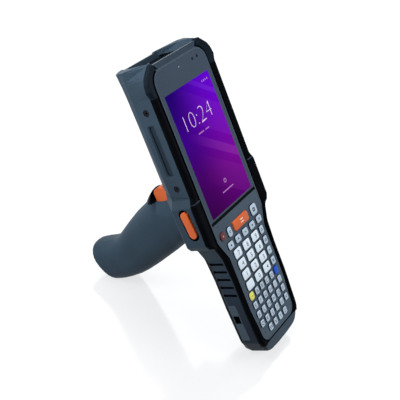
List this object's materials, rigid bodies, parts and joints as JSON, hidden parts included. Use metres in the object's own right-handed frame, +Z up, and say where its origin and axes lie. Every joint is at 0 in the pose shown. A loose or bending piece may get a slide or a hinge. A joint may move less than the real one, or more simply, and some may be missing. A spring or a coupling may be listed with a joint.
{
  "type": "portable barcode data terminal",
  "caption": "Rugged handheld data terminal with a touch display above a full keypad, a scan window in its head, side scan buttons and a pistol grip with a trigger.",
  "frame": {"origin": "on the floor below the middle of the standing device, which rests on the heel of its grip and the end of its keypad", "axes": "+Z up, +X to the right of someone who faces the display, -Y towards that person; the head leans back towards +Y"},
  "size_m": [0.0884, 0.1784, 0.2166],
  "materials": {
    "housing_plastic": "fine grained, satin",
    "grip_plastic": "fine grained, satin",
    "front_plastic": "satin",
    "bumper_rubber": "soft satin",
    "cover_glass": "polished, printed behind",
    "dark_window": "polished",
    "black_plastic": "satin",
    "mat_silicone": "matte",
    "circuit_board": "solder resist",
    "steel": "drawn",
    "dark_steel": "blackened",
    "orange_plastic": "semi-gloss",
    "red_key": "semi-gloss",
    "yellow_key_cap": "semi-gloss",
    "blue_key_cap": "semi-gloss",
    "number_key_cap": "satin",
    "small_key_cap": "satin"
  },
  "bodies": {
    "housing": {"head_cover": "housing_plastic", "body_housing": "housing_plastic", "front_bezel": "front_plastic", "display_glass": "cover_glass", "front_lenses": "dark_window", "display_module": "black_plastic", "keypad_plate": "front_plastic", "keymat": "mat_silicone", "keypad_board": "circuit_board", "main_board": "circuit_board", "bumper_left": "bumper_rubber", "bumper_right": "bumper_rubber", "scan_window": "dark_window", "scan_engine": "black_plastic", "rear_camera": "black_plastic", "port_insert": "front_plastic", "battery_pack": "housing_plastic", "grip_left_shell": "grip_plastic", "grip_right_shell": "grip_plastic", "grip_base_cap": "bumper_rubber", "trigger_pin": "steel", "trigger_spring": "steel", "trigger_switch": "black_plastic", "screws": "dark_steel"},
    "power_key": {"power_key": "red_key"},
    "function_key_left": {"function_key_left": "small_key_cap"},
    "scan_key": {"scan_key": "orange_plastic"},
    "function_key_right": {"function_key_right": "small_key_cap"},
    "top_key_1": {"top_key_1": "small_key_cap"},
    "top_key_2": {"top_key_2": "small_key_cap"},
    "top_key_3": {"top_key_3": "small_key_cap"},
    "top_key_4": {"top_key_4": "small_key_cap"},
    "top_key_5": {"top_key_5": "small_key_cap"},
    "number_key_7": {"number_key_7": "number_key_cap"},
    "number_key_8": {"number_key_8": "number_key_cap"},
    "number_key_9": {"number_key_9": "number_key_cap"},
    "number_key_4": {"number_key_4": "number_key_cap"},
    "number_key_5": {"number_key_5": "number_key_cap"},
    "number_key_6": {"number_key_6": "number_key_cap"},
    "number_key_1": {"number_key_1": "number_key_cap"},
    "number_key_2": {"number_key_2": "number_key_cap"},
    "number_key_3": {"number_key_3": "number_key_cap"},
    "number_key_left": {"number_key_left": "number_key_cap"},
    "number_key_0": {"number_key_0": "number_key_cap"},
    "number_key_right": {"number_key_right": "number_key_cap"},
    "side_key_1": {"side_key_1": "small_key_cap"},
    "side_key_2": {"side_key_2": "small_key_cap"},
    "side_key_3": {"side_key_3": "small_key_cap"},
    "side_key_4": {"side_key_4": "small_key_cap"},
    "yellow_key": {"yellow_key": "yellow_key_cap"},
    "blue_key": {"blue_key": "blue_key_cap"},
    "letter_row_1": {"letter_row_1": "small_key_cap"},
    "letter_row_2": {"letter_row_2": "small_key_cap"},
    "letter_row_3": {"letter_row_3": "small_key_cap"},
    "letter_row_4": {"letter_row_4": "small_key_cap"},
    "letter_row_5": {"letter_row_5": "small_key_cap"},
    "side_button_left": {"side_button_left": "orange_plastic"},
    "side_button_right": {"side_button_right": "orange_plastic"},
    "trigger": {"trigger": "orange_plastic"},
    "battery_latch": {"battery_latch": "black_plastic"}
  },
  "joints": [
    {"name": "power_key_press", "type": "slide", "parent": "housing", "child": "power_key", "axis": [0, 0.8726, -0.4884], "range_m": [0, 0.0006], "stiffness_N_per_m": 400},
    {"name": "function_key_left_press", "type": "slide", "parent": "housing", "child": "function_key_left", "axis": [0, 0.8726, -0.4884], "range_m": [0, 0.0006], "stiffness_N_per_m": 400},
    {"name": "scan_key_press", "type": "slide", "parent": "housing", "child": "scan_key", "axis": [0, 0.8726, -0.4884], "range_m": [0, 0.0006], "stiffness_N_per_m": 400},
    {"name": "function_key_right_press", "type": "slide", "parent": "housing", "child": "function_key_right", "axis": [0, 0.8726, -0.4884], "range_m": [0, 0.0006], "stiffness_N_per_m": 400},
    {"name": "top_key_1_press", "type": "slide", "parent": "housing", "child": "top_key_1", "axis": [0, 0.8726, -0.4884], "range_m": [0, 0.0006], "stiffness_N_per_m": 400},
    {"name": "top_key_2_press", "type": "slide", "parent": "housing", "child": "top_key_2", "axis": [0, 0.8726, -0.4884], "range_m": [0, 0.0006], "stiffness_N_per_m": 400},
    {"name": "top_key_3_press", "type": "slide", "parent": "housing", "child": "top_key_3", "axis": [0, 0.8726, -0.4884], "range_m": [0, 0.0006], "stiffness_N_per_m": 400},
    {"name": "top_key_4_press", "type": "slide", "parent": "housing", "child": "top_key_4", "axis": [0, 0.8726, -0.4884], "range_m": [0, 0.0006], "stiffness_N_per_m": 400},
    {"name": "top_key_5_press", "type": "slide", "parent": "housing", "child": "top_key_5", "axis": [0, 0.8726, -0.4884], "range_m": [0, 0.0006], "stiffness_N_per_m": 400},
    {"name": "number_key_7_press", "type": "slide", "parent": "housing", "child": "number_key_7", "axis": [0, 0.8726, -0.4884], "range_m": [0, 0.0006], "stiffness_N_per_m": 400},
    {"name": "number_key_8_press", "type": "slide", "parent": "housing", "child": "number_key_8", "axis": [0, 0.8726, -0.4884], "range_m": [0, 0.0006], "stiffness_N_per_m": 400},
    {"name": "number_key_9_press", "type": "slide", "parent": "housing", "child": "number_key_9", "axis": [0, 0.8726, -0.4884], "range_m": [0, 0.0006], "stiffness_N_per_m": 400},
    {"name": "number_key_4_press", "type": "slide", "parent": "housing", "child": "number_key_4", "axis": [0, 0.8726, -0.4884], "range_m": [0, 0.0006], "stiffness_N_per_m": 400},
    {"name": "number_key_5_press", "type": "slide", "parent": "housing", "child": "number_key_5", "axis": [0, 0.8726, -0.4884], "range_m": [0, 0.0006], "stiffness_N_per_m": 400},
    {"name": "number_key_6_press", "type": "slide", "parent": "housing", "child": "number_key_6", "axis": [0, 0.8726, -0.4884], "range_m": [0, 0.0006], "stiffness_N_per_m": 400},
    {"name": "number_key_1_press", "type": "slide", "parent": "housing", "child": "number_key_1", "axis": [0, 0.8726, -0.4884], "range_m": [0, 0.0006], "stiffness_N_per_m": 400},
    {"name": "number_key_2_press", "type": "slide", "parent": "housing", "child": "number_key_2", "axis": [0, 0.8726, -0.4884], "range_m": [0, 0.0006], "stiffness_N_per_m": 400},
    {"name": "number_key_3_press", "type": "slide", "parent": "housing", "child": "number_key_3", "axis": [0, 0.8726, -0.4884], "range_m": [0, 0.0006], "stiffness_N_per_m": 400},
    {"name": "number_key_left_press", "type": "slide", "parent": "housing", "child": "number_key_left", "axis": [0, 0.8726, -0.4884], "range_m": [0, 0.0006], "stiffness_N_per_m": 400},
    {"name": "number_key_0_press", "type": "slide", "parent": "housing", "child": "number_key_0", "axis": [0, 0.8726, -0.4884], "range_m": [0, 0.0006], "stiffness_N_per_m": 400},
    {"name": "number_key_right_press", "type": "slide", "parent": "housing", "child": "number_key_right", "axis": [0, 0.8726, -0.4884], "range_m": [0, 0.0006], "stiffness_N_per_m": 400},
    {"name": "side_key_1_press", "type": "slide", "parent": "housing", "child": "side_key_1", "axis": [0, 0.8726, -0.4884], "range_m": [0, 0.0006], "stiffness_N_per_m": 400},
    {"name": "side_key_2_press", "type": "slide", "parent": "housing", "child": "side_key_2", "axis": [0, 0.8726, -0.4884], "range_m": [0, 0.0006], "stiffness_N_per_m": 400},
    {"name": "side_key_3_press", "type": "slide", "parent": "housing", "child": "side_key_3", "axis": [0, 0.8726, -0.4884], "range_m": [0, 0.0006], "stiffness_N_per_m": 400},
    {"name": "side_key_4_press", "type": "slide", "parent": "housing", "child": "side_key_4", "axis": [0, 0.8726, -0.4884], "range_m": [0, 0.0006], "stiffness_N_per_m": 400},
    {"name": "yellow_key_press", "type": "slide", "parent": "housing", "child": "yellow_key", "axis": [0, 0.8726, -0.4884], "range_m": [0, 0.0006], "stiffness_N_per_m": 400},
    {"name": "blue_key_press", "type": "slide", "parent": "housing", "child": "blue_key", "axis": [0, 0.8726, -0.4884], "range_m": [0, 0.0006], "stiffness_N_per_m": 400},
    {"name": "letter_row_1_press", "type": "slide", "parent": "housing", "child": "letter_row_1", "axis": [0, 0.8726, -0.4884], "range_m": [0, 0.0006], "stiffness_N_per_m": 400},
    {"name": "letter_row_2_press", "type": "slide", "parent": "housing", "child": "letter_row_2", "axis": [0, 0.8726, -0.4884], "range_m": [0, 0.0006], "stiffness_N_per_m": 400},
    {"name": "letter_row_3_press", "type": "slide", "parent": "housing", "child": "letter_row_3", "axis": [0, 0.8726, -0.4884], "range_m": [0, 0.0006], "stiffness_N_per_m": 400},
    {"name": "letter_row_4_press", "type": "slide", "parent": "housing", "child": "letter_row_4", "axis": [0, 0.8726, -0.4884], "range_m": [0, 0.0006], "stiffness_N_per_m": 400},
    {"name": "letter_row_5_press", "type": "slide", "parent": "housing", "child": "letter_row_5", "axis": [0, 0.8726, -0.4884], "range_m": [0, 0.0006], "stiffness_N_per_m": 400},
    {"name": "side_button_left_press", "type": "slide", "parent": "housing", "child": "side_button_left", "axis": [1, 0, 0], "range_m": [0, 0.0008], "stiffness_N_per_m": 700},
    {"name": "side_button_right_press", "type": "slide", "parent": "housing", "child": "side_button_right", "axis": [-1, 0, 0], "range_m": [0, 0.0008], "stiffness_N_per_m": 700},
    {"name": "trigger_pull", "type": "hinge", "parent": "housing", "child": "trigger", "pos_m": [0, 0.00742, 0.09856], "axis": [-1, 0, 0], "range_deg": [0, 9], "stiffness_Nm_per_rad": 0.35},
    {"name": "battery_latch_slide", "type": "slide", "parent": "housing", "child": "battery_latch", "axis": [0, -0.4884, -0.8726], "range_m": [0, 0.0025], "stiffness_N_per_m": 350}
  ]
}
